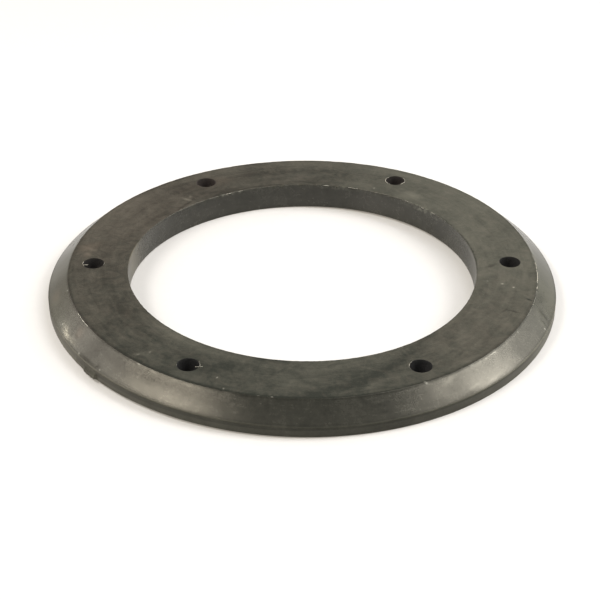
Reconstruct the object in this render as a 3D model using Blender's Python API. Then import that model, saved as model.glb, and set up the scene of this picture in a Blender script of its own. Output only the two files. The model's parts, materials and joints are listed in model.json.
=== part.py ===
"""Toilet flange: a flat moulded rubber ring that seats a toilet on a floor drain.

One moulding. A straight bore passes the waste, six plain holes take the floor screws, and a broad
bevel falls from the flat seat to a low upright rim. The origin is the middle of the underside, +Z is
up, and the first screw hole lies on +X. Units are metres.
"""

import math

import bmesh
import bpy
from mathutils import Vector

# Driving dimensions
OUTER_DIAMETER = 0.178
SEAT_DIAMETER = 0.164
BORE_DIAMETER = 0.122
THICKNESS = 0.0095
RIM_HEIGHT = 0.0034

HOLE_COUNT = 6
HOLE_DIAMETER = 0.0073
BOLT_CIRCLE_DIAMETER = 0.147

EDGE_RADIUS = 0.0004
BREAK_RADIUS = 0.0002

# The stub left where the moulding was broken off its feed gate
GATE_AZIMUTH = math.radians(219.3)
GATE_WIDTH = 0.0080
GATE_HEIGHT = 0.0024
GATE_PROUD = 0.0009
GATE_ROOT = 0.0020
GATE_TIP_WIDTH_SHARE = 0.60
GATE_TIP_HEIGHT_SHARE = 0.75

# Fineness of the round shapes
RING_STEPS = 120
HOLE_STEPS = 32
ARC_STEPS = 2

RUBBER_COLOUR = (0.085, 0.082, 0.072, 1.0)
RUBBER_ROUGHNESS = 0.48

OUTER_RADIUS = OUTER_DIAMETER / 2
SEAT_RADIUS = SEAT_DIAMETER / 2
BORE_RADIUS = BORE_DIAMETER / 2
HOLE_RADIUS = HOLE_DIAMETER / 2
BOLT_CIRCLE_RADIUS = BOLT_CIRCLE_DIAMETER / 2
CUTTER_HEIGHT = THICKNESS * 2


def clear_scene():
    """Remove every object, so that the scene holds only the flange."""
    for old in list(bpy.data.objects):
        bpy.data.objects.remove(old, do_unlink=True)


def rubber():
    """Satin charcoal rubber."""
    material = bpy.data.materials.new("moulded_rubber")
    material.use_nodes = True
    shader = material.node_tree.nodes["Principled BSDF"]
    shader.inputs["Base Color"].default_value = RUBBER_COLOUR
    shader.inputs["Roughness"].default_value = RUBBER_ROUGHNESS
    shader.inputs["Metallic"].default_value = 0.0
    return material


def object_from(name, mesh_data):
    """Make an object of a bmesh and link it to the scene."""
    mesh = bpy.data.meshes.new(name)
    mesh_data.to_mesh(mesh)
    mesh_data.free()
    made = bpy.data.objects.new(name, mesh)
    bpy.context.scene.collection.objects.link(made)
    return made


def rounded(corner, before, after, radius):
    """Points of the arc that rounds one corner of an outline."""
    to_before = (before - corner).normalized()
    to_after = (after - corner).normalized()
    half_angle = to_before.angle(to_after) / 2
    reach = radius / math.tan(half_angle)
    centre = corner + (to_before + to_after).normalized() * (radius / math.sin(half_angle))
    start = (corner + to_before * reach - centre).normalized()
    end = (corner + to_after * reach - centre).normalized()
    steps = range(ARC_STEPS + 1)
    return [centre + start.slerp(end, step / ARC_STEPS) * radius for step in steps]


def ring_outline():
    """The ring's cross-section as (radius, height) points, from the bore's foot over the seat."""
    corners = (
        (BORE_RADIUS, 0.0, BREAK_RADIUS),
        (BORE_RADIUS, THICKNESS, BREAK_RADIUS),
        (SEAT_RADIUS, THICKNESS, EDGE_RADIUS),
        (OUTER_RADIUS, RIM_HEIGHT, EDGE_RADIUS),
        (OUTER_RADIUS, 0.0, BREAK_RADIUS),
    )
    places = [Vector((radius, height)) for radius, height, _ in corners]
    outline = []
    for index, (_, _, edge) in enumerate(corners):
        after = places[(index + 1) % len(places)]
        outline += rounded(places[index], places[index - 1], after, edge)
    return outline


def turned_ring():
    """Spin the cross-section about Z."""
    shape = bmesh.new()
    profile = [shape.verts.new((point.x, 0.0, point.y)) for point in ring_outline()]
    edges = [shape.edges.new((a, b)) for a, b in zip(profile, profile[1:] + profile[:1])]
    bmesh.ops.spin(
        shape,
        geom=profile + edges,
        cent=(0.0, 0.0, 0.0),
        axis=(0.0, 0.0, 1.0),
        angle=math.tau,
        steps=RING_STEPS,
        use_merge=True,
    )
    bmesh.ops.recalc_face_normals(shape, faces=shape.faces)
    return object_from("flange_ring", shape)


def add_boolean(target, tool, operation):
    """Join or cut the target with a tool that the finished part leaves out."""
    tool.hide_render = True
    tool.display_type = "WIRE"
    modifier = target.modifiers.new(tool.name, "BOOLEAN")
    modifier.operation = operation
    modifier.solver = "EXACT"
    modifier.object = tool


def gate_stub():
    """The low broken stub of the feed gate, rooted inside the rim."""
    shape = bmesh.new()
    bmesh.ops.create_cube(shape, size=1.0)
    length = GATE_ROOT + GATE_PROUD
    bmesh.ops.scale(shape, vec=(length, GATE_WIDTH, GATE_HEIGHT), verts=shape.verts)
    tip = [vert for vert in shape.verts if vert.co.x > 0]
    bmesh.ops.scale(shape, vec=(1.0, GATE_TIP_WIDTH_SHARE, GATE_TIP_HEIGHT_SHARE), verts=tip)
    stub = object_from("gate_stub", shape)
    distance = OUTER_RADIUS + GATE_PROUD - length / 2
    stub.location = (
        distance * math.cos(GATE_AZIMUTH),
        distance * math.sin(GATE_AZIMUTH),
        GATE_HEIGHT / 2,
    )
    stub.rotation_euler.z = GATE_AZIMUTH
    return stub


def hole_cutter(index):
    """A cylinder that cuts one screw hole."""
    shape = bmesh.new()
    bmesh.ops.create_cone(
        shape,
        cap_ends=True,
        segments=HOLE_STEPS,
        radius1=HOLE_RADIUS,
        radius2=HOLE_RADIUS,
        depth=CUTTER_HEIGHT,
    )
    cutter = object_from(f"screw_hole_{index + 1}", shape)
    azimuth = math.tau * index / HOLE_COUNT
    cutter.location = (
        BOLT_CIRCLE_RADIUS * math.cos(azimuth),
        BOLT_CIRCLE_RADIUS * math.sin(azimuth),
        THICKNESS / 2,
    )
    return cutter


def build_flange():
    """Mould the ring, leave its gate stub on the rim and cut the screw holes."""
    ring = turned_ring()
    ring.data.materials.append(rubber())
    ring.data.shade_smooth()
    ring.data.set_sharp_from_angle(angle=math.radians(30))
    add_boolean(ring, gate_stub(), "UNION")
    for index in range(HOLE_COUNT):
        add_boolean(ring, hole_cutter(index), "DIFFERENCE")
    return ring


clear_scene()
build_flange()
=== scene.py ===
import json
import math

import bmesh
import bpy
import numpy as np
from mathutils import Euler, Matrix, Quaternion, Vector, noise


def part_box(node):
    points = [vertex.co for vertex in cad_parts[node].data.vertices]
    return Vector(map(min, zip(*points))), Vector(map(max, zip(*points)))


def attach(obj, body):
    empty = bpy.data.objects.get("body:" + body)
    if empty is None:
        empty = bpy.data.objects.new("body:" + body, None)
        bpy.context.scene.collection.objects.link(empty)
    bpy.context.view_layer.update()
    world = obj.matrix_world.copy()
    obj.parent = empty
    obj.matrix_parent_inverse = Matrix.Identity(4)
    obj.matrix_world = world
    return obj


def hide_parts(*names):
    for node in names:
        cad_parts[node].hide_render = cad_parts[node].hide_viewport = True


# Looks of the toilet flange: one rubber moulding, built finely over its CAD ring. Units are metres,
# angles are degrees round +Z from +X, and the ring lies on the floor at height 0.

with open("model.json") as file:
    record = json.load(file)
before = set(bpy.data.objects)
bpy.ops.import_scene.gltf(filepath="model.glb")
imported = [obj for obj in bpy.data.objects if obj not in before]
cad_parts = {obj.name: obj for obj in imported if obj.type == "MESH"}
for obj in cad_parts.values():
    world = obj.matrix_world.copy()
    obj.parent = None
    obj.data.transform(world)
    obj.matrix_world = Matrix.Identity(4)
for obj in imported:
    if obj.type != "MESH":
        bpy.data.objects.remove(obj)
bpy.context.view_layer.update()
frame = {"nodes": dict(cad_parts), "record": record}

MM = 0.001
NODE = "flange_ring"


def frame_sizes():
    """The ring's outer and bore radius, its thickness and its bolt circle, off the CAD and the record."""
    low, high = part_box(NODE)
    points = np.array([vert.co[:] for vert in frame["nodes"][NODE].data.vertices])
    bore = float(np.hypot(points[:, 0], points[:, 1]).min())
    seat_mount = next(m for m in frame["record"]["mounts"] if m["name"] == "seat_face")
    return high.x, bore, high.z - low.z, math.hypot(seat_mount["pos_m"][0], seat_mount["pos_m"][1])


OUTER, BORE, TOP, BOLT_CIRCLE = frame_sizes()
BEVEL_WIDTH = 7.0 * MM
RIM_HEIGHT = 3.4 * MM
SEAT = OUTER - BEVEL_WIDTH
BEVEL_LENGTH = math.hypot(BEVEL_WIDTH, TOP - RIM_HEIGHT)

HOLE_COUNT = 6
HOLE_RADIUS = 3.65 * MM
HOLE_STEPS = 56

# The soft edge of a hole: its width, and where its middle point lies as a share of that width
HOLE_MOUTH = 0.12 * MM
MOUTH_BEND = 0.3

# How far each hole lies off its even place: (outwards, round the ring towards +azimuth)
HOLE_DRIFT = (
    (-0.30 * MM, 0.60 * MM),
    (-0.20 * MM, 0.00 * MM),
    (-0.15 * MM, -0.25 * MM),
    (-0.10 * MM, -0.40 * MM),
    (0.20 * MM, 0.00 * MM),
    (0.15 * MM, 0.15 * MM),
)

# The moulding has taken a slight saddle set, so it touches the floor at two places
SADDLE_RISE = 0.54 * MM
SADDLE_AZIMUTH = 32.1

# The torn stub of the feed gate on the rim: a low shoulder, a slope up, and a sharp drop at the end
GATE_START = -146.6
GATE_SHOULDER_END = -143.6
GATE_SHOULDER_SHARE = 0.35
GATE_SLOPE_START = -144.2
GATE_SLOPE_END = -142.4
GATE_END = -138.95
GATE_DROP = 0.3
GATE_PROUD = 0.95 * MM
GATE_TOP = 3.3 * MM

# Zones of the surface, which are also the moulding's material slots
SEAT_ZONE = 0
SIDE_ZONE = 1
HOLE_ZONE = 2

# Fineness of the moulding's mesh: it is finer over the gate and over the scratched patch of the bevel
FINE_SPANS = ((-148.5, -136.0), (-25.0, -14.0))
FINE_STEP = 0.125
COARSE_STEP = 0.5
ARC_STEPS = 4

# Shading stays smooth across edges blunter than these angles
MOULDING_SHARP_ANGLE = 32
FLASH_SHARP_ANGLE = 60


# ---------------------------------------------------------------- shape helpers


def smoothstep(low, high, value):
    """0 below low, 1 above high, and an S-curve between."""
    share = min(1.0, max(0.0, (value - low) / (high - low)))
    return share * share * (3 - 2 * share)


def window(value, start, end, fade):
    """1 between start and end, fading to 0 over the given distance outside them."""
    return smoothstep(start - fade, start, value) * (1 - smoothstep(end, end + fade, value))


def lift(azimuth):
    """Height of the saddle set at an azimuth."""
    return SADDLE_RISE * (1 + math.cos(math.radians(2 * (azimuth - SADDLE_AZIMUTH))))


def at(radius, azimuth, height):
    """A point of the moulding, with the saddle set in its height."""
    turn = math.radians(azimuth)
    return (radius * math.cos(turn), radius * math.sin(turn), height + lift(azimuth))


def hole_place(hole):
    """Azimuth and radius of a hole's axis."""
    outwards, onwards = HOLE_DRIFT[hole]
    return 360 * hole / HOLE_COUNT + math.degrees(onwards / BOLT_CIRCLE), BOLT_CIRCLE + outwards


def grain(radius, azimuth, height, size, seed):
    """Smooth noise from -1 to 1, with lumps of the given size."""
    turn = math.radians(azimuth)
    place = Vector((radius * math.cos(turn), radius * math.sin(turn), height)) / size
    return noise.noise(place + Vector((seed, seed * 1.7, -seed)))


def link(name, mesh):
    """Put a mesh in the scene as an object."""
    made = bpy.data.objects.new(name, mesh)
    bpy.context.scene.collection.objects.link(made)
    return made


def shade(mesh, sharp_angle):
    """Smooth shading that keeps edges sharper than the angle."""
    mesh.shade_smooth()
    mesh.set_sharp_from_angle(angle=math.radians(sharp_angle))


# ---------------------------------------------------------------- the cross-section


def arc(corner, before, after, radius):
    """Points of the arc that rounds one corner of the outline."""
    to_before = (before - corner).normalized()
    to_after = (after - corner).normalized()
    half_angle = to_before.angle(to_after) / 2
    centre = corner + (to_before + to_after).normalized() * (radius / math.sin(half_angle))
    reach = radius / math.tan(half_angle)
    start = (corner + to_before * reach - centre).normalized()
    end = (corner + to_after * reach - centre).normalized()
    steps = range(ARC_STEPS + 1)
    return [centre + start.slerp(end, step / ARC_STEPS) * radius for step in steps]


def section():
    """The cross-section from the bore's foot up, over the seat and down the bevel, with zones."""
    # (radius, height, edge radius, then the spacing of points and the zone up to the next corner)
    corners = (
        (BORE, 0.0, 0.25 * MM, 1.2 * MM, SIDE_ZONE),
        (BORE, TOP, 0.22 * MM, 1.1 * MM, SEAT_ZONE),
        (SEAT, TOP, 0.40 * MM, 0.55 * MM, SIDE_ZONE),
        (OUTER, RIM_HEIGHT, 0.45 * MM, 0.45 * MM, SIDE_ZONE),
        (OUTER, 0.0, 0.12 * MM, 4.0 * MM, SEAT_ZONE),
    )
    places = [Vector((radius, height)) for radius, height, *_ in corners]
    points = []
    zones = []
    for index, (_, _, edge, spacing, zone) in enumerate(corners):
        after = places[(index + 1) % len(places)]
        bend = arc(places[index], places[index - 1], after, edge)
        points += bend
        zones += [SIDE_ZONE] * (len(bend) - 1) + [zone]
        next_corner = corners[(index + 1) % len(corners)]
        next_bend = arc(after, places[index], places[(index + 2) % len(places)], next_corner[2])
        run = next_bend[0] - bend[-1]
        count = max(1, round(run.length / spacing))
        for step in range(1, count):
            points.append(bend[-1] + run * (step / count))
            zones.append(zone)
    return points, zones


def section_normals(points):
    """Outward normals of the closed cross-section, in (radius, height)."""
    normals = []
    for index, point in enumerate(points):
        along = points[(index + 1) % len(points)] - points[index - 1]
        normals.append(Vector((-along.y, along.x)).normalized())
    return normals


def azimuth_steps():
    """Azimuths round the ring, closer together over the gate and the scratched patch."""
    steps = []
    azimuth = -180.0
    while azimuth < 180.0:
        steps.append(azimuth)
        fine = any(start <= azimuth < end for start, end in FINE_SPANS)
        azimuth += FINE_STEP if fine else COARSE_STEP
    return steps


# ---------------------------------------------------------------- marks on the surface

# Grooves on the bevel: (start azimuth, start share down the bevel, end azimuth, end share, depth, width)
GROOVES = (
    (-146.3, 0.90, -138.8, 0.95, 0.08 * MM, 0.40 * MM),
    (-139.8, 0.97, -138.8, 0.84, 0.10 * MM, 0.30 * MM),
    (-18.9, 0.28, -19.7, 0.88, 0.07 * MM, 0.60 * MM),
    (-21.4, 0.55, -21.8, 0.92, 0.05 * MM, 0.50 * MM),
    (-23.4, 0.30, -20.6, 0.50, 0.03 * MM, 0.30 * MM),
    (-17.8, 0.62, -15.6, 0.96, 0.03 * MM, 0.30 * MM),
)

# How far past its ends a groove still reaches, in degrees, and how far it wanders off its line
GROOVE_MARGIN = 1.5
GROOVE_WANDER = 0.12 * MM

# Unevenness of every face: (height, size of the lumps, seed)
WAVES = (
    (0.030 * MM, 16 * MM, 1.0),
    (0.012 * MM, 4 * MM, 2.0),
)

# Ragged trimming of the seat's two edges: (radius of the edge, depth, size and seed of the nicks,
# how often they bite, share of the depth everywhere, start, end and fade of the worst stretch)
TRIMMED_EDGES = (
    (BORE, 0.32 * MM, 1.6 * MM, 9.0, 0.10, 0.25, 60.0, 128.0, 10.0),
    (SEAT, 0.24 * MM, 2.2 * MM, 17.0, -0.05, 0.35, -20.0, 10.0, 8.0),
)
TRIM_REACH = 0.5 * MM

# The frosted patch of the bevel: its azimuths, its shares of the way down and the height of its pits
FROST_AZIMUTHS = (-158.0, -150.5)
FROST_SHARES = (0.55, 0.92)
FROST_PITS = 0.045 * MM


def groove_depth(azimuth, share):
    """Depth of the grooves at a place on the bevel, given by azimuth and share of the way down."""
    per_degree = OUTER * math.pi / 180
    depth = 0.0
    for start, start_share, end, end_share, deep, wide in GROOVES:
        if not min(start, end) - GROOVE_MARGIN < azimuth < max(start, end) + GROOVE_MARGIN:
            continue
        place = Vector((azimuth * per_degree, share * BEVEL_LENGTH))
        head = Vector((start * per_degree, start_share * BEVEL_LENGTH))
        run = Vector((end * per_degree, end_share * BEVEL_LENGTH)) - head
        along = min(1.0, max(0.0, (place - head).dot(run) / run.length_squared))
        wander = GROOVE_WANDER * noise.noise(Vector((along * 7, start, 0.0)))
        away = abs((place - head - run * along).length + wander)
        taper = 0.35 + 0.65 * math.sin(math.pi * min(1.0, max(0.0, along * 0.92 + 0.04)))
        depth = max(depth, deep * taper * math.exp(-((away / wide) ** 2)))
    return depth


def stub_reach(azimuth, height):
    """How far the torn gate stub stands out of the rim."""
    slope_in = smoothstep(GATE_SLOPE_START, GATE_SLOPE_END, azimuth)
    drop_off = 1 - smoothstep(GATE_END, GATE_END + GATE_DROP, azimuth)
    shoulder = GATE_SHOULDER_SHARE * window(azimuth, GATE_START, GATE_SHOULDER_END, 0.5)
    ragged = 1 + 0.22 * grain(OUTER, azimuth, height, 0.7 * MM, 4.0)
    rise = 1 - smoothstep(0.25 * GATE_TOP, GATE_TOP, height)
    return GATE_PROUD * max(slope_in * drop_off, shoulder) * ragged * rise


def edge_wear(radius, azimuth, height):
    """How far ragged trimming cuts back the seat's two edges."""
    wear = 0.0
    for edge_radius, depth, size, seed, bite, everywhere, start, end, fade in TRIMMED_EDGES:
        near = math.exp(-(math.hypot(radius - edge_radius, height - TOP) / TRIM_REACH) ** 2)
        nicks = max(0.0, grain(radius, azimuth, 0.0, size, seed) + bite)
        wear += depth * near * nicks * (everywhere + window(azimuth, start, end, fade))
    return wear


def surface_offset(point, azimuth):
    """Offset along the normal of one point of the section: waves, wear and marks."""
    radius, height = point.x, point.y
    waves = sum(tall * grain(radius, azimuth, height, size, seed) for tall, size, seed in WAVES)
    offset = waves - edge_wear(radius, azimuth, height)
    if radius > SEAT and height > RIM_HEIGHT - 0.5 * MM:
        share = (radius - SEAT) / BEVEL_WIDTH
        offset -= groove_depth(azimuth, share)
        frosted = window(azimuth, *FROST_AZIMUTHS, 2.5) * window(share, *FROST_SHARES, 0.2)
        offset += FROST_PITS * frosted * grain(radius, azimuth, height, 0.9 * MM, 6.0)
    return offset


# ---------------------------------------------------------------- the moulding


def turned_moulding():
    """Turn the cross-section round Z, with every mark in the mesh."""
    points, zones = section()
    normals = section_normals(points)
    azimuths = azimuth_steps()
    verts = []
    for azimuth in azimuths:
        for point, normal in zip(points, normals):
            moved = point + normal * surface_offset(point, azimuth)
            on_rim = point.x > OUTER - 0.02 * MM and point.y > 0.2 * MM
            if on_rim:
                moved.x += stub_reach(azimuth, point.y)
            verts.append(at(moved.x, azimuth, max(0.0, moved.y)))
    rows, columns = len(azimuths), len(points)
    faces = []
    slots = []
    for row in range(rows):
        following = (row + 1) % rows
        for column in range(columns):
            beside = (column + 1) % columns
            here, there = row * columns, following * columns
            faces.append((here + column, here + beside, there + beside, there + column))
            slots.append(zones[column])
    mesh = bpy.data.meshes.new("flange_moulding")
    mesh.from_pydata(verts, [], faces)
    mesh.polygons.foreach_set("material_index", slots)
    mesh.update()
    return mesh


def hole_tool():
    """One mesh of six turned cutters, flared at both mouths to round the holes' edges."""
    low, high = -2 * MM, TOP + 4 * MM
    wide = HOLE_RADIUS + HOLE_MOUTH
    bend = HOLE_MOUTH * MOUTH_BEND
    shape = bmesh.new()
    for index in range(HOLE_COUNT):
        azimuth, distance = hole_place(index)
        foot = lift(azimuth)
        seat = foot + TOP
        profile = (
            (0.0, low),
            (wide, low),
            (wide, foot),
            (HOLE_RADIUS, foot + HOLE_MOUTH),
            (HOLE_RADIUS, seat - HOLE_MOUTH),
            (HOLE_RADIUS + bend, seat - bend),
            (wide, seat),
            (wide, high),
            (0.0, high),
        )
        centre = Vector(at(distance, azimuth, 0.0))
        centre.z = 0.0
        verts = [shape.verts.new(centre + Vector((radius, 0.0, height))) for radius, height in profile]
        edges = [shape.edges.new(pair) for pair in zip(verts, verts[1:])]
        bmesh.ops.spin(shape, geom=verts + edges, cent=centre, axis=(0, 0, 1), angle=math.tau,
                       steps=HOLE_STEPS, use_merge=True)
    bmesh.ops.remove_doubles(shape, verts=shape.verts, dist=1e-7)
    bmesh.ops.recalc_face_normals(shape, faces=shape.faces)
    for face in shape.faces:
        face.material_index = HOLE_ZONE
    mesh = bpy.data.meshes.new("hole_tool")
    shape.to_mesh(mesh)
    shape.free()
    return mesh


def drilled(moulding, tool_mesh):
    """Cut the holes and keep the result as a plain mesh."""
    tool = link("hole_tool", tool_mesh)
    cut = moulding.modifiers.new("holes", "BOOLEAN")
    cut.operation = "DIFFERENCE"
    cut.solver = "EXACT"
    cut.object = tool
    evaluated = moulding.evaluated_get(bpy.context.evaluated_depsgraph_get())
    finished = bpy.data.meshes.new_from_object(evaluated)
    moulding.modifiers.clear()
    moulding.data = finished
    bpy.data.objects.remove(tool)
    shade(finished, MOULDING_SHARP_ANGLE)


# ---------------------------------------------------------------- flash

# A sliver of flash: how deep its feet are sunk, and its crest's thickness as a share of its foot's
FIN_ROOT = 0.12 * MM
FIN_CREST_SHARE = 0.25


def fin(shape, path, heights, lean, thickness):
    """Add one closed sliver of flash along a path: two feet sunk in the rubber and a thin crest."""
    rows = []
    for (place, outward), tall in zip(path, heights):
        up = (Vector((0, 0, 1)) + outward * lean).normalized()
        root = place - up * FIN_ROOT
        crest = place + up * tall
        rows.append([
            shape.verts.new(root - outward * thickness),
            shape.verts.new(root + outward * thickness),
            shape.verts.new(crest + outward * thickness * FIN_CREST_SHARE),
            shape.verts.new(crest - outward * thickness * FIN_CREST_SHARE),
        ])
    for first, second in zip(rows, rows[1:]):
        for side in range(4):
            other = (side + 1) % 4
            shape.faces.new((first[side], first[other], second[other], second[side]))
    shape.faces.new(rows[0][::-1])
    shape.faces.new(rows[-1])


def spread(start, end, steps):
    """Evenly spaced values from start to end."""
    return [start + (end - start) * step / steps for step in range(steps + 1)]


def outward_at(azimuth):
    """The level direction that points away from an axis at an azimuth."""
    turn = math.radians(azimuth)
    return Vector((math.cos(turn), math.sin(turn), 0.0))


def hole_centre(hole, height):
    """The point of a hole's axis at a height of the moulding."""
    azimuth, distance = hole_place(hole)
    return Vector(at(distance, azimuth, height))


def ragged_heights(steps, tall, seed):
    """Heights of a torn crest, fading out at both ends."""
    heights = []
    for step in range(steps + 1):
        share = step / steps
        fade = math.sin(math.pi * share) ** 0.5
        rough = 0.55 + 0.45 * noise.noise(Vector((share * steps * 0.35, seed, 0.0)))
        heights.append(max(0.01 * MM, tall * fade * rough))
    return heights


# Flash left on the lip of the bore: (start azimuth, end azimuth, tall)
LIP_FLASH = (
    (35.6, 37.4, 0.06 * MM),
    (41.4, 42.8, 0.08 * MM),
    (48.4, 49.6, 0.14 * MM),
    (69.0, 72.6, 0.18 * MM),
    (79.6, 82.0, 0.10 * MM),
    (111.2, 112.9, 0.10 * MM),
    (115.6, 117.8, 0.08 * MM),
)

# Flash left on all the edges: (radius, height, start azimuth, end azimuth, tall, lean)
EDGE_FLASH = (
    (SEAT + 0.10 * MM, TOP - 0.10 * MM, -12.2, -10.6, 0.22 * MM, 1.2),
    (SEAT + 0.10 * MM, TOP - 0.10 * MM, -9.6, -3.4, 0.28 * MM, 1.2),
    (SEAT + 0.10 * MM, TOP - 0.10 * MM, -2.8, 0.4, 0.24 * MM, 1.2),
    (SEAT + 0.25 * MM, TOP - 0.24 * MM, -24.5, -13.0, 0.07 * MM, 1.6),
    (SEAT + 0.10 * MM, TOP - 0.12 * MM, -156.4, -149.6, 0.38 * MM, 1.4),
    (OUTER - 0.06 * MM, RIM_HEIGHT - 0.04 * MM, -27.0, -8.0, 0.12 * MM, 2.5),
    *((BORE + 0.06 * MM, TOP - 0.05 * MM, *span, -0.6) for span in LIP_FLASH),
)

# Burrs round the holes: (hole, start, end, tall), with angles about the hole's own axis
HOLE_BURRS = (
    (0, 150.0, 215.0, 0.10 * MM),
    (1, 115.0, 240.0, 0.34 * MM),
    (1, 290.0, 400.0, 0.38 * MM),
    (2, 200.0, 260.0, 0.10 * MM),
    (3, 158.0, 218.0, 0.26 * MM),
    (3, 338.0, 372.0, 0.16 * MM),
    (4, 345.0, 400.0, 0.16 * MM),
    (4, 150.0, 205.0, 0.12 * MM),
    (5, 120.0, 208.0, 0.26 * MM),
)

# Shreds that hang over the mouth of a hole: (hole, start, end, sideways) from the hole's own axis
HOLE_SHREDS = (
    (3, -4.0 * MM, -1.9 * MM, -1.0 * MM),
    (4, 2.2 * MM, 4.7 * MM, -1.1 * MM),
)
SHRED_STEPS = 8
SHRED_HEIGHT = 0.07 * MM

# Thickness of the slivers on the edges, round the holes and over them
EDGE_FIN = 0.07 * MM
BURR_FIN = 0.10 * MM
SHRED_FIN = 0.05 * MM

# Length of one step along a sliver, in degrees round its own axis
EDGE_FIN_STEP = 0.35
BURR_STEP = 6

# The burrs' place on the mouth of a hole: this far outside its wall and below the seat, leaning inwards
BURR_OUT = 0.10 * MM
BURR_DOWN = 0.08 * MM
BURR_LEAN = -0.15


def flash():
    """All the slivers of flash, as one piece of closed slivers."""
    shape = bmesh.new()
    for index, (radius, height, start, end, tall, lean) in enumerate(EDGE_FLASH):
        steps = max(6, round((end - start) / EDGE_FIN_STEP))
        turns = spread(start, end, steps)
        path = [(Vector(at(radius, azimuth, height)), outward_at(azimuth)) for azimuth in turns]
        fin(shape, path, ragged_heights(steps, tall, seed=index * 3.1), lean, EDGE_FIN)
    for index, (hole, start, end, tall) in enumerate(HOLE_BURRS):
        steps = max(6, round((end - start) / BURR_STEP))
        middle = hole_centre(hole, TOP - BURR_DOWN)
        sides = [outward_at(angle) for angle in spread(start, end, steps)]
        path = [(middle + outward * (HOLE_RADIUS + BURR_OUT), outward) for outward in sides]
        fin(shape, path, ragged_heights(steps, tall, seed=40 + index * 2.3), BURR_LEAN, BURR_FIN)
    for index, (hole, start, end, sideways) in enumerate(HOLE_SHREDS):
        middle = hole_centre(hole, TOP)
        reach = spread(start, end, SHRED_STEPS)
        path = [(middle + Vector((along, sideways, 0.0)), Vector((0.0, 1.0, 0.0))) for along in reach]
        heights = ragged_heights(SHRED_STEPS, SHRED_HEIGHT, seed=70 + index * 2.7)
        fin(shape, path, heights, 0.0, SHRED_FIN)
    bmesh.ops.recalc_face_normals(shape, faces=shape.faces)
    mesh = bpy.data.meshes.new("moulding_flash")
    shape.to_mesh(mesh)
    shape.free()
    shade(mesh, FLASH_SHARP_ANGLE)
    return link("moulding_flash", mesh)


# ---------------------------------------------------------------- materials

# The ring's sizes in millimetres, the unit of the materials
BORE_MM = BORE / MM
SEAT_MM = SEAT / MM
OUTER_MM = OUTER / MM
RIM_MM = RIM_HEIGHT / MM
TOP_MM = TOP / MM
BOLT_CIRCLE_MM = BOLT_CIRCLE / MM

# Size of the lumps of the noise that bends the unrolled ring
WANDER_SIZE = 1 / 0.35


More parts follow.
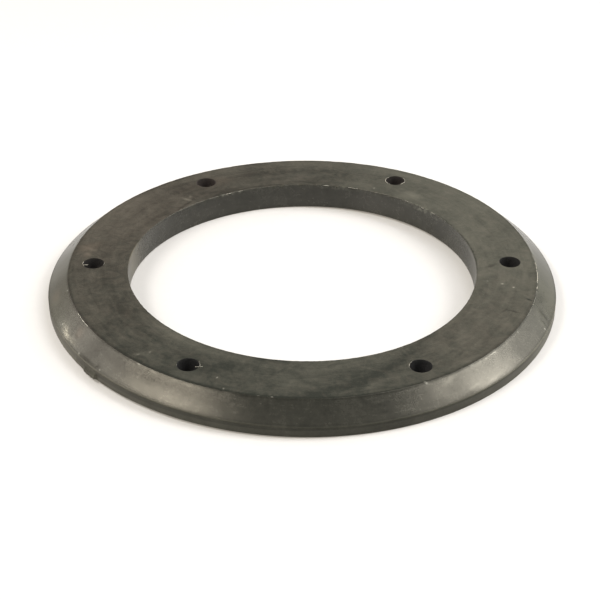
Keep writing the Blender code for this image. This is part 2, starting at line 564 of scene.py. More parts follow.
class Graph:
    """Short calls for building a material's nodes; lengths are in millimetres."""

    def __init__(self, name):
        self.material = bpy.data.materials.new(name)
        self.material.use_nodes = True
        self.tree = self.material.node_tree
        self.shader = self.tree.nodes["Principled BSDF"]
        texture = self.tree.nodes.new("ShaderNodeTexCoord")
        scale = self.node("ShaderNodeVectorMath", operation="SCALE")
        self.join(texture.outputs["Object"], scale.inputs[0])
        scale.inputs["Scale"].default_value = 1 / MM
        self.place = scale.outputs[0]
        split = self.node("ShaderNodeSeparateXYZ")
        self.join(self.place, split.inputs[0])
        x, y, self.height = split.outputs
        self.turn = self.math("ARCTAN2", y, x)
        square = self.math("ADD", self.math("POWER", x, 2.0), self.math("POWER", y, 2.0))
        self.radius = self.math("SQRT", square)

    def node(self, kind, **settings):
        """A new node with the given settings."""
        made = self.tree.nodes.new(kind)
        for key, value in settings.items():
            setattr(made, key, value)
        return made

    def join(self, source, target):
        """Feed a socket from another socket or from a plain value."""
        if isinstance(source, (int, float, tuple)):
            target.default_value = source
        else:
            self.tree.links.new(source, target)

    def feed(self, name, source):
        """Feed one of the shader's inputs."""
        self.join(source, self.shader.inputs[name])

    def math(self, operation, first, second=0.0, third=0.0, clamp=False):
        """One step of arithmetic on sockets or plain values."""
        made = self.node("ShaderNodeMath", operation=operation, use_clamp=clamp)
        for value, socket in zip((first, second, third), made.inputs):
            self.join(value, socket)
        return made.outputs[0]

    def times(self, first, second, clamp=False):
        """The product of two values."""
        return self.math("MULTIPLY", first, second, clamp=clamp)

    def less(self, value, loss):
        """The value with something taken off."""
        return self.math("SUBTRACT", value, loss)

    def add(self, value, extra, amount=1.0, clamp=False):
        """The value with an amount of something extra."""
        return self.math("MULTIPLY_ADD", extra, amount, value, clamp)

    def vary(self, value, pattern, amount, clamp=False):
        """The value moved up and down by an amount of a pattern, whose middle is at 0.5."""
        return self.add(value, self.less(pattern, 0.5), amount, clamp)

    def noise(self, size, detail=4.0, roughness=0.55, distortion=0.0, place=None, output="Fac"):
        """Noise with lumps of about the given size."""
        made = self.node("ShaderNodeTexNoise")
        self.join(place or self.place, made.inputs["Vector"])
        made.inputs["Scale"].default_value = 1 / size
        made.inputs["Detail"].default_value = detail
        made.inputs["Roughness"].default_value = roughness
        made.inputs["Distortion"].default_value = distortion
        return made.outputs[output]

    def ramp(self, value, low, high):
        """Stretch a value so that low becomes 0 and high becomes 1, with soft ends."""
        made = self.node("ShaderNodeMapRange", interpolation_type="SMOOTHSTEP")
        self.join(value, made.inputs["Value"])
        made.inputs["From Min"].default_value = low
        made.inputs["From Max"].default_value = high
        return made.outputs[0]

    def mix(self, share, first, second):
        """The first colour, with a share from 0 to 1 of the second."""
        made = self.node("ShaderNodeMix", data_type="RGBA")
        self.join(share, made.inputs["Factor"])
        self.join(first, made.inputs["A"])
        self.join(second, made.inputs["B"])
        return made.outputs["Result"]

    def bump(self, height, distance, normal=None):
        """A bump whose full height is the given distance, on top of another bump if there is one."""
        made = self.node("ShaderNodeBump")
        self.join(height, made.inputs["Height"])
        made.inputs["Distance"].default_value = distance * MM
        if normal:
            self.join(normal, made.inputs["Normal"])
        return made.outputs[0]

    def stretched(self, **axes):
        """A place for a noise: each axis is a value and how tightly the noise follows it."""
        made = self.node("ShaderNodeCombineXYZ")
        for axis, (value, tightness) in axes.items():
            self.join(self.times(value, tightness), made.inputs[axis])
        return made.outputs[0]

    def unrolled(self, wander=0.0):
        """The ring laid out flat: length round the bolt circle, then radius, bent a little."""
        flat = self.stretched(X=(self.turn, BOLT_CIRCLE_MM), Y=(self.radius, 1.0))
        if not wander:
            return flat
        lumps = self.noise(WANDER_SIZE, detail=3.0, roughness=0.5, output="Color")
        shift = self.node("ShaderNodeVectorMath", operation="MULTIPLY_ADD")
        self.join(lumps, shift.inputs[0])
        shift.inputs[1].default_value = (wander, wander, 0.0)
        shift.inputs[2].default_value = (-wander / 2, -wander / 2, 0.0)
        bent = self.node("ShaderNodeVectorMath", operation="ADD")
        self.join(flat, bent.inputs[0])
        self.join(shift.outputs[0], bent.inputs[1])
        return bent.outputs[0]

    def bell(self, away):
        """1 at no distance, falling smoothly to 0 on both sides."""
        return self.math("EXPONENT", self.times(self.math("POWER", away, 2.0), -1.0))

    def lobe(self, centre, width):
        """1 at an azimuth, falling smoothly to 0 round the ring; both angles are in degrees."""
        level = self.less(self.math("COSINE", self.less(self.turn, math.radians(centre))), 1.0)
        sharpness = 1 / (1 - math.cos(math.radians(width)))
        return self.math("EXPONENT", self.times(level, sharpness))

    def lobes(self, places):
        """Sum of lobes round the ring: (azimuth, width, amount)."""
        total = 0.0
        for centre, width, amount in places:
            total = self.add(total, self.lobe(centre, width), amount)
        return total

    def marks(self, flat, items):
        """Sum of soft oval marks on the unrolled ring."""
        total = 0.0
        for azimuth, radius, half_length, half_width, tilt, strength in items:
            spot = self.node("ShaderNodeMapping", vector_type="TEXTURE")
            self.join(flat, spot.inputs["Vector"])
            spot.inputs["Location"].default_value = (math.radians(azimuth) * BOLT_CIRCLE_MM, radius, 0.0)
            spot.inputs["Rotation"].default_value = (0.0, 0.0, math.radians(tilt))
            spot.inputs["Scale"].default_value = (half_length, half_width, 1.0)
            away = self.node("ShaderNodeVectorMath", operation="LENGTH")
            self.join(spot.outputs[0], away.inputs[0])
            total = self.add(total, self.bell(away.outputs["Value"]), strength)
        return total

    def edge_shade(self):
        """Painted shade along the seat's outer edge: how much its colour and shine are lowered, most of
        all at the front of the ring.
        """
        inner = self.ramp(self.radius, SEAT_MM - 1.4, SEAT_MM - 0.3)
        outer = self.ramp(self.radius, SEAT_MM + 0.7, SEAT_MM + 0.2)
        return self.times(self.times(inner, outer), self.add(0.25, self.lobe(-85.0, 60.0), 0.5))

    def crumbs(self, area):
        """Crumbs of torn rubber where the bore's edge was trimmed."""
        pattern = self.ramp(self.noise(1.5, detail=3, roughness=0.65), 0.40, 0.72)
        return self.times(self.times(self.lobes(CRUMB_PLACES), area), pattern)

    def hairlines(self, size, width, distortion):
        """Thin wandering lines: the contour of a smooth noise."""
        field = self.noise(size, detail=1.5, roughness=0.4, distortion=distortion)
        return self.ramp(self.math("ABSOLUTE", self.less(field, 0.5)), width, 0.0)


# Colours of the seat, each with its brown shade where there is one
SEAT_DARK = (0.0074, 0.0088, 0.0074, 1)
SEAT_DARK_BROWN = (0.0135, 0.0105, 0.0085, 1)
SEAT_PALE = (0.0575, 0.0560, 0.0468, 1)
SEAT_PALE_BROWN = (0.0615, 0.0550, 0.0464, 1)
STAIN_BROWN = (0.066, 0.052, 0.042, 1)
SEAT_DUST_GREY = (0.42, 0.41, 0.37, 1)

# Colours of the bevel, the rim and the bore
SIDE_DARK = (0.0088, 0.0095, 0.0086, 1)
SIDE_DARK_BROWN = (0.0150, 0.0108, 0.0088, 1)
SIDE_PALE = (0.033, 0.0328, 0.0285, 1)
# Painted reflection: yellow tint of the bore's left end, where it reflects the warm floor
PAINTED_REFLECTION_YELLOW = (0.115, 0.100, 0.066, 1)
BLOOM_BROWN = (0.085, 0.066, 0.055, 1)
# Frosted patch: pale partly from frosting and partly as painted glint
FROST_AND_GLINT_GREY = (0.40, 0.375, 0.32, 1)
BEVEL_DUST_GREY = (0.50, 0.50, 0.47, 1)

# Colours inside the holes, neutral on one side and reddish on the other, and of torn rubber
HOLE_COOL = ((0.0078, 0.0082, 0.0092, 1), (0.0340, 0.0350, 0.0385, 1))
HOLE_WARM = ((0.0200, 0.0165, 0.0160, 1), (0.0400, 0.0330, 0.0320, 1))
CRUMB_GREY = (0.30, 0.30, 0.26, 1)
FLASH_GREY = (0.12, 0.115, 0.10, 1)
# Palest torn flash: partly stretched white, partly painted glint
FLASH_WHITE_AND_GLINT = (0.55, 0.53, 0.48, 1)

# Tints of the reflections
SEAT_TINT = (1.0, 0.975, 0.885, 1)
SIDE_TINT = (1.0, 0.965, 0.885, 1)
WARM_TINT = (1.0, 0.965, 0.80, 1)

# The next tables change the looks round the ring: (azimuth, width in degrees, amount)

# Crumbs of torn rubber on the bore's edge
CRUMB_PLACES = (
    (42.0, 7.0, 0.26),
    (117.0, 5.0, 0.208),
    (77.0, 8.0, 0.13),
)

# Brown haze on the seat
BROWN_HAZE = (
    (148.0, 40.0, 1.0),
    (-155.0, 26.0, 0.35),
    (92.0, 26.0, 0.36),
    (-36.0, 26.0, 0.40),
)

# Broad pale areas of the seat; the wide one at azimuth 14 is partly paler rubber and partly painted light,
# the right side of the seat lighter as the lamps light it from the right
PALE_STREAMS_AND_PAINTED_LIGHT = (
    (14.0, 62.0, 0.40),
    (149.0, 20.0, 0.12),
)

# Stretches of the sides that are rougher, shine more or less, or reflect more warmly
DULL_ENDS = (
    (180.0, 12.0, 0.07),
    (0.0, 12.0, 0.05),
)
RIM_GLOW = (
    (-142.0, 24.0, 1.0),
    (-32.0, 17.0, 1.0),
    (-174.0, 8.0, -1.0),
)
WARM_ENDS = (
    (8.0, 16.0, 1.0),
    (172.0, 10.0, 1.0),
)

# How the shine of each side changes
BEVEL_SHEEN = (
    (-172.5, 5.0, -0.46),
    (-157.0, 4.2, 0.78),
    (-142.5, 4.5, -0.48),
    (-129.5, 3.0, 0.10),
    (-114.0, 4.0, -0.08),
    (-103.0, 4.0, 0.12),
    (-68.0, 5.0, 0.66),
    (-56.0, 3.6, -0.34),
    (-35.0, 4.0, 0.26),
    (-15.0, 5.0, -0.08),
    (6.0, 6.0, -0.10),
    (169.0, 3.0, 0.26),
)
RIM_SHEEN = (
    (-171.0, 3.5, -0.60),
    (-151.0, 12.0, 0.80),
    (-77.0, 14.0, -0.28),
    (-25.0, 9.0, 0.70),
)
BORE_SHEEN = (
    (12.0, 6.0, -0.22),
    (62.0, 7.0, 0.30),
    (162.0, 5.0, -0.26),
)

# Where streams of rubber met in the mould: (azimuth at the bore, degrees per mm outwards, width, depth)
FLOW_FRONTS = (
    (-101.0, -1.23, 4.5, 0.16),
    (-49.5, -2.06, 5.0, 0.20),
    (118.0, 0.6, 7.0, 0.16),
)

# Marks on the seat: (azimuth, radius, half length, half width, tilt, strength); the thin dark arcs along
# the bore's edge at azimuths 8 and 32 are painted shade
SEAT_MARKS_AND_SHADE = (
    (50.1, 66.4, 4.0, 2.6, 0.0, 0.42),
    (-15.5, 63.5, 9.0, 2.6, 0.0, -0.14),
    (104.0, 62.2, 16.0, 0.35, 0.0, -0.35),
    (88.0, 63.4, 9.0, 0.30, 2.0, -0.25),
    (118.0, 62.0, 6.0, 0.40, -2.0, -0.30),
    (70.0, 64.5, 6.0, 2.5, 0.0, 0.14),
    (-40.5, 68.5, 9.0, 1.8, -23.0, 0.16),
    (-73.8, 77.6, 3.6, 1.6, -30.0, 0.24),
    (-93.5, 74.5, 5.5, 2.6, -25.0, 0.18),
    (-88.0, 67.0, 4.0, 2.0, 10.0, 0.10),
    (-51.0, 79.8, 5.0, 1.0, 0.0, 0.16),
    (171.8, 76.4, 0.7, 2.6, 30.0, 0.34),
    (170.4, 78.6, 0.9, 1.6, 30.0, -0.20),
    (175.0, 76.0, 0.7, 1.4, 40.0, 0.28),
    (-132.0, 63.0, 28.0, 2.2, 0.0, 0.24),
    (-106.0, 64.5, 12.0, 2.4, 0.0, 0.10),
    (-62.0, 63.5, 10.0, 2.4, 0.0, 0.10),
    (-121.0, 71.5, 7.0, 3.0, 0.0, -0.16),
    (148.0, 64.0, 14.0, 2.6, 0.0, -0.16),
    (82.0, 65.0, 12.0, 5.0, 0.0, -0.10),
    (62.0, 79.0, 8.0, 2.6, 0.0, 0.14),
    # Painted shade: a thin dark line along the bore's edge
    (8.0, 61.2, 16.0, 0.36, 0.0, -0.60),
    (-133.5, 64.0, 7.0, 2.2, 0.0, 0.14),
    (-104.0, 64.2, 6.0, 2.0, 0.0, 0.10),
    (60.0, 64.5, 8.0, 2.2, 0.0, -0.14),
    (48.0, 70.0, 7.0, 2.4, 0.0, -0.12),
    (76.0, 70.0, 7.0, 2.4, 0.0, -0.12),
    (164.0, 78.0, 7.0, 2.5, 0.0, 0.10),
    (60.0, 79.6, 7.0, 2.0, 0.0, 0.08),
    # Painted shade: a thin dark line along the bore's edge
    (32.0, 61.3, 10.0, 0.30, 0.0, -0.35),
    (166.0, 75.0, 1.2, 2.6, -8.0, 0.16),
    (130.8, 65.6, 0.7, 2.0, -20.0, 0.75),
    (129.0, 66.8, 0.5, 1.0, 40.0, 0.45),
    (-162.5, 70.0, 5.0, 4.0, 0.0, 0.10),
    (-132.5, 78.3, 0.9, 2.2, 25.0, 0.26),
    (-131.0, 75.4, 0.6, 2.0, -15.0, 0.20),
    (115.0, 79.5, 60.0, 2.0, 0.0, 0.14),
    (95.0, 72.6, 62.0, 2.4, 0.0, -0.14),
    (-118.0, 79.0, 12.0, 1.6, 0.0, 0.12),
    (-118.0, 63.0, 14.0, 2.0, 0.0, 0.10),
    (-1.8, 66.0, 0.9, 2.2, -35.0, -0.40),
    (-38.8, 76.8, 5.0, 1.3, -12.0, -0.22),
    (-17.7, 80.5, 0.38, 1.0, 14.0, -0.70),
    (-24.1, 77.9, 0.35, 2.6, 0.0, -0.34),
    (-24.8, 74.2, 1.6, 0.35, 20.0, -0.24),
    (3.0, 71.0, 1.2, 1.8, 0.0, -0.25),
    (134.0, 62.8, 8.0, 0.5, -14.0, -0.30),
    (-152.0, 66.0, 7.0, 4.0, 0.0, -0.12),
)

# Brown stains and dust on the seat, laid out like the marks
SEAT_STAINS = (
    (171.6, 77.6, 2.6, 3.2, -20.0, 1.0),
    (175.2, 76.4, 1.6, 1.2, 0.0, 0.9),
    (168.6, 74.6, 2.4, 1.6, 0.0, 0.5),
    (118.0, 72.0, 9.0, 3.0, 0.0, 0.5),
)
SEAT_DUST = (
    (-11.5, 70.2, 0.30, 0.42, 0.0, 0.36),
    (-12.7, 74.2, 0.34, 0.34, 0.0, 0.36),
    (-10.7, 65.0, 0.30, 0.34, 0.0, 0.14),
    (-132.5, 78.6, 0.26, 0.50, 30.0, 0.10),
    (-131.1, 75.2, 0.22, 0.45, -20.0, 0.10),
    (-111.2, 76.0, 0.20, 0.36, 0.0, 0.30),
    (-108.2, 80.9, 0.20, 0.32, 0.0, 0.28),
    (-100.2, 81.9, 0.40, 0.22, 0.0, 0.24),
    (-97.2, 81.8, 0.26, 0.26, 0.0, 0.36),
    (-62.7, 81.9, 0.28, 0.34, 20.0, 0.42),
    (-52.5, 82.0, 0.50, 0.18, 0.0, 0.36),
    (-42.7, 82.0, 1.60, 0.16, 0.0, 0.30),
    (63.8, 63.8, 0.30, 0.34, 0.0, 0.28),
)

# Worn and frosted places of the bevel, laid out like the marks; the frosted patch is pale partly from
# frosting and partly as painted glint
FROSTED_AND_GLINT = (
    (-154.2, 87.6, 1.9, 0.62, 6.0, 1.0),
    (-155.4, 86.9, 2.6, 0.95, 8.0, 0.34),
    (-151.3, 87.5, 3.0, 0.60, 0.0, 0.42),
)
BLOOM = (
    (-150.6, 84.8, 2.0, 1.6, 0.0, 1.0),
    (-169.0, 86.3, 3.0, 1.4, 0.0, 0.7),
)
# Marks on the bevel. Many are painted highlight and shade that shape the lamps' reflections: paler at the
# foot and darker at the top of the bevel near azimuths -121 and -46, pale flecks in the highlight from -57
# to -46, a pale line along the top edge near 7 and a darker stretch near -8. Those from -15 to -22 are
# scratches.
BEVEL_MARKS_AND_HIGHLIGHTS = (
    (7.0, 82.6, 10.0, 0.45, 0.0, 0.80),
    (-20.6, 84.3, 1.6, 0.9, 0.0, 0.30),
    (-22.3, 86.6, 1.0, 1.4, 0.0, 0.30),
    (-14.6, 83.8, 2.4, 1.2, 0.0, -0.35),
    (-121.0, 83.6, 14.0, 1.8, 0.0, -0.34),
    (-121.0, 87.4, 14.0, 1.6, 0.0, 0.34),
    (-156.0, 87.6, 8.0, 1.8, 0.0, 0.38),
    (-140.0, 84.5, 3.6, 2.4, 0.0, -0.10),
    (-107.0, 87.5, 6.0, 1.8, 0.0, 0.14),
    (-8.0, 84.6, 13.0, 3.0, 0.0, -0.14),
    (-45.0, 83.4, 12.0, 1.6, 0.0, -0.20),
    (-48.0, 87.2, 7.0, 1.4, 0.0, 0.16),
    (-36.0, 86.0, 4.0, 2.2, 0.0, -0.20),
    (-140.2, 85.1, 1.2, 0.3, 8.0, 0.36),
    (-56.9, 83.4, 2.2, 0.7, -14.0, 0.60),
    (-46.4, 87.8, 3.2, 0.55, -6.0, 0.55),
    (-51.7, 87.1, 2.2, 0.4, -8.0, 0.45),
)
BEVEL_DUST = (
    (-23.0, 88.00, 0.20, 0.22, 0.0, 0.60),
    (-31.6, 82.70, 0.20, 0.24, 0.0, 0.26),
    (-42.7, 82.55, 1.40, 0.12, 0.0, 0.30),
    (-41.9, 82.75, 0.44, 0.16, 30.0, 0.20),
    (-45.2, 82.70, 0.46, 0.18, -30.0, 0.20),
    (-47.2, 82.60, 0.40, 0.16, 0.0, 0.16),
    (-49.8, 82.40, 0.60, 0.12, 0.0, 0.22),
    (-62.5, 82.25, 0.40, 0.26, 20.0, 0.34),
    (-129.7, 82.25, 0.70, 0.14, 0.0, 0.26),
    (-167.5, 82.40, 0.24, 0.20, 0.0, 0.30),
    (-146.2, 88.30, 0.32, 0.28, 0.0, 0.22),
    (-138.1, 88.20, 0.26, 0.24, 0.0, 0.26),
    (-157.7, 87.00, 0.20, 0.26, 0.0, 0.40),
)

# Scuffed places of the bevel that have lost their sheen, laid out like the marks
BEVEL_SCUFFS = (
    (-19.3, 86.1, 0.75, 2.2, 15.0, 0.62),
    (-21.6, 87.1, 0.60, 1.4, 6.0, 0.44),
    (-61.5, 87.5, 5.5, 1.1, 5.0, 0.26),
    (-53.6, 88.1, 2.6, 0.5, 0.0, 0.40),
    (-138.8, 87.9, 1.2, 0.8, 12.0, 0.40),
    (-143.4, 88.4, 4.2, 0.60, 0.0, 0.50),
    (-142.0, 89.8, 4.4, 0.7, 0.0, 0.60),
)


def flow_fronts(graph, clouds):
    """Soft dark bands that cross the seat at a slant."""
    total = 0.0
    azimuth = graph.times(graph.turn, 180 / math.pi)
    out = graph.less(graph.radius, BORE_MM)
    for start, slope, width, depth in FLOW_FRONTS:
        away = graph.less(azimuth, graph.add(start, out, slope))
        away = graph.vary(away, clouds, 9.0)
        total = graph.add(total, graph.bell(graph.math("DIVIDE", away, width)), depth)
    return total


def seat_rubber():
    """Dull rubber of the flat faces, with flow marks, scuffs and dust, painted shade along the outer edge
    and the bore's edge, and painted light on the right.
    """
    graph = Graph("seat_rubber")
    upper = graph.ramp(graph.height, 2.0, 6.0)
    flat = graph.unrolled(1.6)
    clouds = graph.noise(17, detail=3, roughness=0.5, distortion=1.0)
    swirls = graph.noise(7, detail=4, roughness=0.5, distortion=2.5)
    drawn = graph.stretched(X=(graph.turn, 5.0), Y=(graph.radius, 0.45))
    threads = graph.noise(1.0, detail=4, roughness=0.55, distortion=0.9, place=drawn)
    mottle = graph.noise(1.6, detail=5, roughness=0.7)
    patches = graph.ramp(graph.noise(9, detail=2), 0.45, 0.65)
    hairs = graph.times(graph.hairlines(6.5, 0.012, 2.0), patches)
    shade_line = graph.times(graph.edge_shade(), upper)

    tone = 0.18
    for pattern, amount in ((clouds, 0.55), (swirls, 0.50), (threads, 0.45), (mottle, 0.55)):
        tone = graph.vary(tone, pattern, amount)
    # Broad pale areas, partly painted light on the right side
    tone = graph.add(tone, graph.lobes(PALE_STREAMS_AND_PAINTED_LIGHT))
    tone = graph.less(tone, flow_fronts(graph, clouds))
    tone = graph.add(tone, graph.marks(flat, SEAT_MARKS_AND_SHADE), upper)
    # Painted shade along the seat's outer edge
    tone = graph.add(tone, shade_line, -0.3)
    tone = graph.add(tone, hairs, 0.16, clamp=True)

    brown = graph.vary(graph.lobes(BROWN_HAZE), swirls, 1.2, clamp=True)
    dark = graph.mix(brown, SEAT_DARK, SEAT_DARK_BROWN)
    pale = graph.mix(brown, SEAT_PALE, SEAT_PALE_BROWN)
    colour = graph.mix(tone, dark, pale)
    stain = graph.times(graph.marks(flat, SEAT_STAINS), graph.times(upper, 0.5))
    colour = graph.mix(stain, colour, STAIN_BROWN)
    torn = graph.times(graph.ramp(graph.radius, BORE_MM + 0.9, BORE_MM + 0.2), upper)
    colour = graph.mix(graph.crumbs(torn), colour, CRUMB_GREY)
    dust = graph.times(graph.marks(graph.unrolled(), SEAT_DUST), upper)
    graph.feed("Base Color", graph.mix(dust, colour, SEAT_DUST_GREY))

    graph.feed("Roughness", graph.add(0.52, mottle, 0.14))
    level = graph.add(0.17, tone, 0.16)
    graph.feed("Specular IOR Level", graph.times(level, graph.add(1.0, shade_line, -0.5)))
    graph.feed("Specular Tint", SEAT_TINT)
    grainy = graph.bump(graph.noise(0.35, detail=3), 0.05)
    graph.feed("Normal", graph.bump(mottle, 0.08, grainy))
    return graph.material


def side_tone(graph, bore, flat, strokes, clouds, mottle):
    """How pale the bevel, the rim and the bore are, from 0 to 1, with painted highlight and shade."""
    tone = 0.35
    for pattern, amount in ((clouds, 0.9), (strokes, 0.25), (mottle, 0.7)):
        tone = graph.vary(tone, pattern, amount)
    for place in (graph.ramp(graph.height, TOP_MM - 0.5, 1.0), graph.lobe(48.0, 20.0)):
        tone = graph.add(tone, graph.times(bore, place), 0.16)
    # Painted highlight: paler towards the bevel's foot and the rim, where the lamps' reflections are
    # brighter
    tone = graph.add(tone, graph.ramp(graph.radius, SEAT_MM, OUTER_MM), 0.14)
    # Marks on the bevel, with painted highlight and shade
    return graph.add(tone, graph.marks(flat, BEVEL_MARKS_AND_HIGHLIGHTS), clamp=True)


def side_colour(graph, tone, bore, bore_top, flat, streaks):
    """Colour of the sides: browner at the left, with a painted yellow reflection at the bore's left end,
    bloomed places, frosted places that are partly painted glint, and dust.
    """
    dark = graph.mix(graph.lobe(-162.0, 30.0), SIDE_DARK, SIDE_DARK_BROWN)
    colour = graph.mix(tone, dark, SIDE_PALE)
    # Painted reflection: a streaky yellow tint at the bore's left end, where it reflects the warm floor
    painted_reflection_share = graph.times(graph.times(bore, graph.lobe(172.0, 8.0)), streaks)
    colour = graph.mix(graph.times(painted_reflection_share, 0.7), colour, PAINTED_REFLECTION_YELLOW)
    bloom = graph.times(graph.marks(flat, BLOOM), 0.45)
    colour = graph.mix(bloom, colour, BLOOM_BROWN)
    # Frosted patch, pale partly from frosting and partly as painted glint
    patchy = graph.ramp(graph.noise(0.38, detail=3, roughness=0.6), 0.38, 0.60)
    frost_and_glint = graph.times(graph.marks(flat, FROSTED_AND_GLINT), patchy, clamp=True)
    colour = graph.mix(graph.times(frost_and_glint, 0.75), colour, FROST_AND_GLINT_GREY)
    colour = graph.mix(graph.crumbs(bore_top), colour, CRUMB_GREY)
    return graph.mix(graph.marks(graph.unrolled(), BEVEL_DUST), colour, BEVEL_DUST_GREY)


def side_shine(graph, tone, zones, bore_top, flat, lines):
    """Specular level of the sides."""
    bore, rim, _ = zones
    level = graph.add(0.31, tone, 0.26)
    glow = graph.vary(graph.lobes(RIM_GLOW), lines, 1.0)
    level = graph.add(level, rim, graph.add(0.08, glow, 0.26))
    level = graph.add(level, graph.times(bore_top, graph.lobe(8.0, 12.0)), 0.35)
    foot = graph.ramp(graph.radius, OUTER_MM - 1.2, OUTER_MM - 0.25)
    foot = graph.times(foot, graph.ramp(graph.height, RIM_MM - 0.8, RIM_MM - 0.5))
    level = graph.times(level, graph.add(1.0, foot, -0.36))
    gain = 1.0
    for zone, sheen in zip(zones, (BORE_SHEEN, RIM_SHEEN, BEVEL_SHEEN)):
        gain = graph.add(gain, graph.lobes(sheen), zone)
    level = graph.vary(graph.times(level, gain), graph.noise(0.50, detail=2, roughness=0.6), 0.30)
    scuffs = graph.times(graph.marks(flat, BEVEL_SCUFFS), 1.0, clamp=True)
    for loss in (scuffs, graph.edge_shade()):
        level = graph.times(level, graph.less(1.0, loss))
    return level


def side_rubber():
    """Smoother satin rubber of the bevel, the rim and the bore, brushed round the ring."""
    graph = Graph("side_rubber")
    turn, radius, height = graph.turn, graph.radius, graph.height
    brushed = graph.stretched(X=(turn, 16.0), Y=(radius, 1.6), Z=(height, 0.5))
    strokes = graph.noise(1.0, detail=4, roughness=0.6, place=brushed)
    down = graph.stretched(X=(turn, 90.0), Y=(radius, 0.16), Z=(height, 0.16))
    streaks = graph.noise(1.3, detail=4, roughness=0.6, place=down)
    level_lines = graph.stretched(X=(turn, 9.0), Z=(height, 1.5))
    lines = graph.noise(1.0, detail=3, roughness=0.6, place=level_lines)
    clouds = graph.noise(9, detail=4, roughness=0.6, distortion=1.2)
    fine = graph.noise(0.5, detail=3)
    mottle = graph.noise(1.1, detail=5, roughness=0.75)
    flat = graph.unrolled(0.9)

    bore = graph.ramp(radius, BORE_MM + 2.0, BORE_MM + 1.0)
    bore_top = graph.times(bore, graph.ramp(height, TOP_MM - 1.2, TOP_MM - 0.5))
    rim = graph.ramp(radius, OUTER_MM - 0.5, OUTER_MM - 0.1)
    bevel = graph.less(graph.less(1.0, bore), rim)

    tone = side_tone(graph, bore, flat, strokes, clouds, mottle)
    graph.feed("Base Color", side_colour(graph, tone, bore, bore_top, flat, streaks))
    level = side_shine(graph, tone, (bore, rim, bevel), bore_top, flat, lines)
    graph.feed("Specular IOR Level", level)
    rough = graph.add(0.155, graph.lobes(DULL_ENDS))
    for pattern, amount in ((streaks, 0.03), (strokes, 0.05), (clouds, 0.08), (mottle, 0.06), (rim, 0.26)):
        rough = graph.add(rough, pattern, amount)
    graph.feed("Roughness", rough)
    wavy = graph.bump(strokes, 0.006, graph.bump(streaks, 0.004))
    graph.feed("Normal", graph.bump(fine, 0.004, wavy))
    pale = graph.times(graph.add(bore, bevel, 0.6), graph.lobes(WARM_ENDS))
    graph.feed("Specular Tint", graph.mix(graph.add(rim, pale), SIDE_TINT, WARM_TINT))
    return graph.material


def hole_rubber():
    """Rough dark rubber inside the screw holes, with drag marks down the wall."""
    graph = Graph("hole_rubber")
    drag = graph.noise(0.8, detail=4, roughness=0.6)
    deep = graph.add(-0.1, graph.ramp(graph.height, TOP_MM - 0.3, TOP_MM - 5.0), 0.7)
    deep = graph.add(deep, drag, 0.5, clamp=True)
    cool, warm = graph.mix(deep, *HOLE_COOL), graph.mix(deep, *HOLE_WARM)
    graph.feed("Base Color", graph.mix(graph.lobe(105.0, 70.0), cool, warm))
    graph.feed("Roughness", graph.add(0.5, drag, 0.2))
    graph.feed("Normal", graph.bump(drag, 0.18))
    graph.feed("Specular IOR Level", 0.16)
    return graph.material


def flash_rubber():
    """Thin torn rubber, paler than the rest, partly where it has stretched white and partly as painted
    glint on its thin crests.
    """
    graph = Graph("flash_rubber")
    patchy = graph.ramp(graph.noise(0.5, detail=3), 0.35, 0.65)
    graph.feed("Base Color", graph.mix(patchy, FLASH_GREY, FLASH_WHITE_AND_GLINT))
    graph.feed("Roughness", graph.add(0.35, patchy, 0.2))
    graph.feed("Normal", graph.bump(patchy, 0.02))
    return graph.material


# ---------------------------------------------------------------- build the object


def build_flange():
    """Make the moulding and its flash, and hang both on the frame."""
    moulding = link("flange_moulding", turned_moulding())
    moulding.data.materials.append(seat_rubber())
    moulding.data.materials.append(side_rubber())
    moulding.data.materials.append(hole_rubber())
    drilled(moulding, hole_tool())
    slivers = flash()
    slivers.data.materials.append(flash_rubber())
    for piece in (moulding, slivers):
        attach(piece, "root")
    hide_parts(NODE)


# ---------------------------------------------------------------- the studio

# Brightness of the surroundings by height: (sine of the elevation, share of the brightest, blue share)
SKY_LEVELS = (
    (0.0, 0.82, 0.70),
    (0.28, 0.86, 0.89),
    (0.52, 0.60, 0.90),
    (0.70, 0.24, 0.90),
    (1.0, 0.18, 0.90),
)
SKY_STRENGTH = 1.5

# How much brighter the surroundings are on the right, and darker on the left, as a share
SKY_TILT = 0.22

# The floor, a sheet of paper just under the ring that glows more from near to far (in millimetres)
FLOOR_RADIUS = 3.0
FLOOR_STEPS = 96
FLOOR_DROP = 0.02 * MM
PAPER_DARK = (0.326, 0.336, 0.376, 1)
PAPER_PALE = (0.346, 0.356, 0.396, 1)
PAPER_GLOW = (1.0, 0.90, 0.73, 1)
PAPER_GLOW_SPAN = (500.0, 2200.0)

# Lamps, all at one distance: (name, azimuth, elevation, size, roll, power, tint)
LAMP_DISTANCE = 0.9
LAMPS = (
    ("left_key", -166, 52.5, (0.41, 0.18), 32, 7.1, (1.0, 0.92, 0.78)),
    ("left_fill", 161, 33.5, (0.42, 0.36), 0, 2.4, (1.0, 0.95, 0.85)),
    ("right_key", 3, 43.5, (0.46, 0.36), -36, 8.0, (1.0, 0.96, 0.86)),
    ("right_fill", 27, 31, (0.44, 0.40), -36, 1.2, (1.0, 0.96, 0.86)),
    ("right_top", 30, 68, (0.50, 0.40), 0, 4.0, (1.0, 0.97, 0.90)),
)

# The camera's place, in outer radii; how far it is swung round the ring, aimed aside, tilted down
# from level and rolled, in degrees; and its lens, in millimetres
CAMERA_BACK = 5.3171
CAMERA_SIDE = -0.0072
CAMERA_UP = 3.198
CAMERA_SWING = -0.71
CAMERA_AIM = -0.695
CAMERA_DOWN = 31.503
CAMERA_ROLL = 0.22
CAMERA_LENS = 93.3


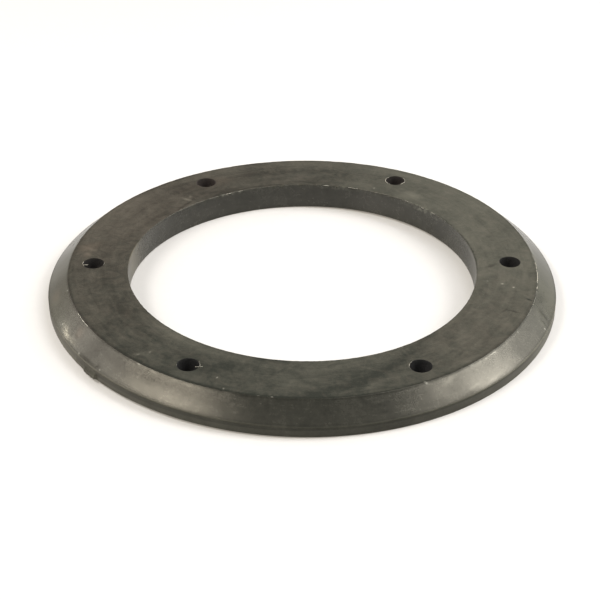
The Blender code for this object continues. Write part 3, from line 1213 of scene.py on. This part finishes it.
def build_floor():
    """A pale sweep of paper under the ring."""
    shape = bmesh.new()
    bmesh.ops.create_circle(shape, cap_ends=True, segments=FLOOR_STEPS, radius=FLOOR_RADIUS)
    mesh = bpy.data.meshes.new("studio_floor")
    shape.to_mesh(mesh)
    shape.free()
    floor = link("studio_floor", mesh)
    floor.location.z = -FLOOR_DROP
    graph = Graph("studio_paper")
    graph.feed("Base Color", graph.mix(graph.noise(3.0, detail=3), PAPER_DARK, PAPER_PALE))
    graph.feed("Roughness", 0.9)
    graph.feed("Emission Color", PAPER_GLOW)
    graph.feed("Emission Strength", graph.add(0.26, graph.ramp(graph.radius, *PAPER_GLOW_SPAN), 0.9))
    mesh.materials.append(graph.material)


def softbox(name, azimuth, elevation, size, roll, power, tint):
    """A soft rectangular lamp that faces the ring, turned in its own plane by the roll."""
    data = bpy.data.lights.new(name, "AREA")
    data.shape = "RECTANGLE"
    data.size, data.size_y = size
    data.energy = power
    data.color = tint
    lamp = bpy.data.objects.new(name, data)
    turn, rise = math.radians(azimuth), math.radians(elevation)
    away = Vector((math.cos(turn) * math.cos(rise), math.sin(turn) * math.cos(rise), math.sin(rise)))
    lamp.location = away * LAMP_DISTANCE
    lamp.rotation_mode = "QUATERNION"
    lamp.rotation_quaternion = away.to_track_quat("Z", "Y") @ Quaternion((0, 0, 1), math.radians(roll))
    bpy.context.scene.collection.objects.link(lamp)


def build_sky():
    """Pale surroundings: bright round the horizon, darker overhead, and brighter on the right."""
    world = bpy.data.worlds.new("studio_surroundings")
    world.use_nodes = True
    tree = world.node_tree
    background = tree.nodes["Background"]
    texture = tree.nodes.new("ShaderNodeTexCoord")
    split = tree.nodes.new("ShaderNodeSeparateXYZ")
    tree.links.new(texture.outputs["Generated"], split.inputs[0])
    ramp = tree.nodes.new("ShaderNodeValToRGB")
    tree.links.new(split.outputs["Z"], ramp.inputs["Fac"])
    stops = ramp.color_ramp.elements
    for height, _, _ in SKY_LEVELS[1:-1]:
        stops.new(height)
    for stop, (height, level, blue) in zip(stops, SKY_LEVELS):
        stop.position = height
        stop.color = (level, level * 0.98, level * blue, 1)
    tree.links.new(ramp.outputs["Color"], background.inputs["Color"])
    tilt = tree.nodes.new("ShaderNodeMath")
    tilt.operation = "MULTIPLY_ADD"
    tree.links.new(split.outputs["X"], tilt.inputs[0])
    tilt.inputs[1].default_value = SKY_TILT * SKY_STRENGTH
    tilt.inputs[2].default_value = SKY_STRENGTH
    tree.links.new(tilt.outputs[0], background.inputs["Strength"])
    bpy.context.scene.world = world


def build_camera():
    """The camera, over the front of the ring, at the place that the photograph was taken from."""
    data = bpy.data.cameras.new("camera")
    data.sensor_width = 36.0
    data.lens = CAMERA_LENS
    data.clip_start = 0.01
    camera = bpy.data.objects.new("camera", data)
    swing = math.radians(CAMERA_SWING)
    back, side = CAMERA_BACK * OUTER, CAMERA_SIDE * OUTER
    camera.location = (
        side * math.cos(swing) + back * math.sin(swing),
        side * math.sin(swing) - back * math.cos(swing),
        CAMERA_UP * OUTER + SADDLE_RISE,
    )
    camera.rotation_mode = "QUATERNION"
    upright = Euler((math.radians(90 - CAMERA_DOWN), 0.0, math.radians(CAMERA_AIM))).to_quaternion()
    roll = Quaternion((0, 0, 1), math.radians(CAMERA_ROLL))
    camera.rotation_quaternion = upright @ roll
    bpy.context.scene.collection.objects.link(camera)
    bpy.context.scene.camera = camera


build_flange()
build_floor()
build_sky()
for lamp in LAMPS:
    softbox(*lamp)
build_camera()
bpy.context.scene.view_settings.view_transform = "Standard"
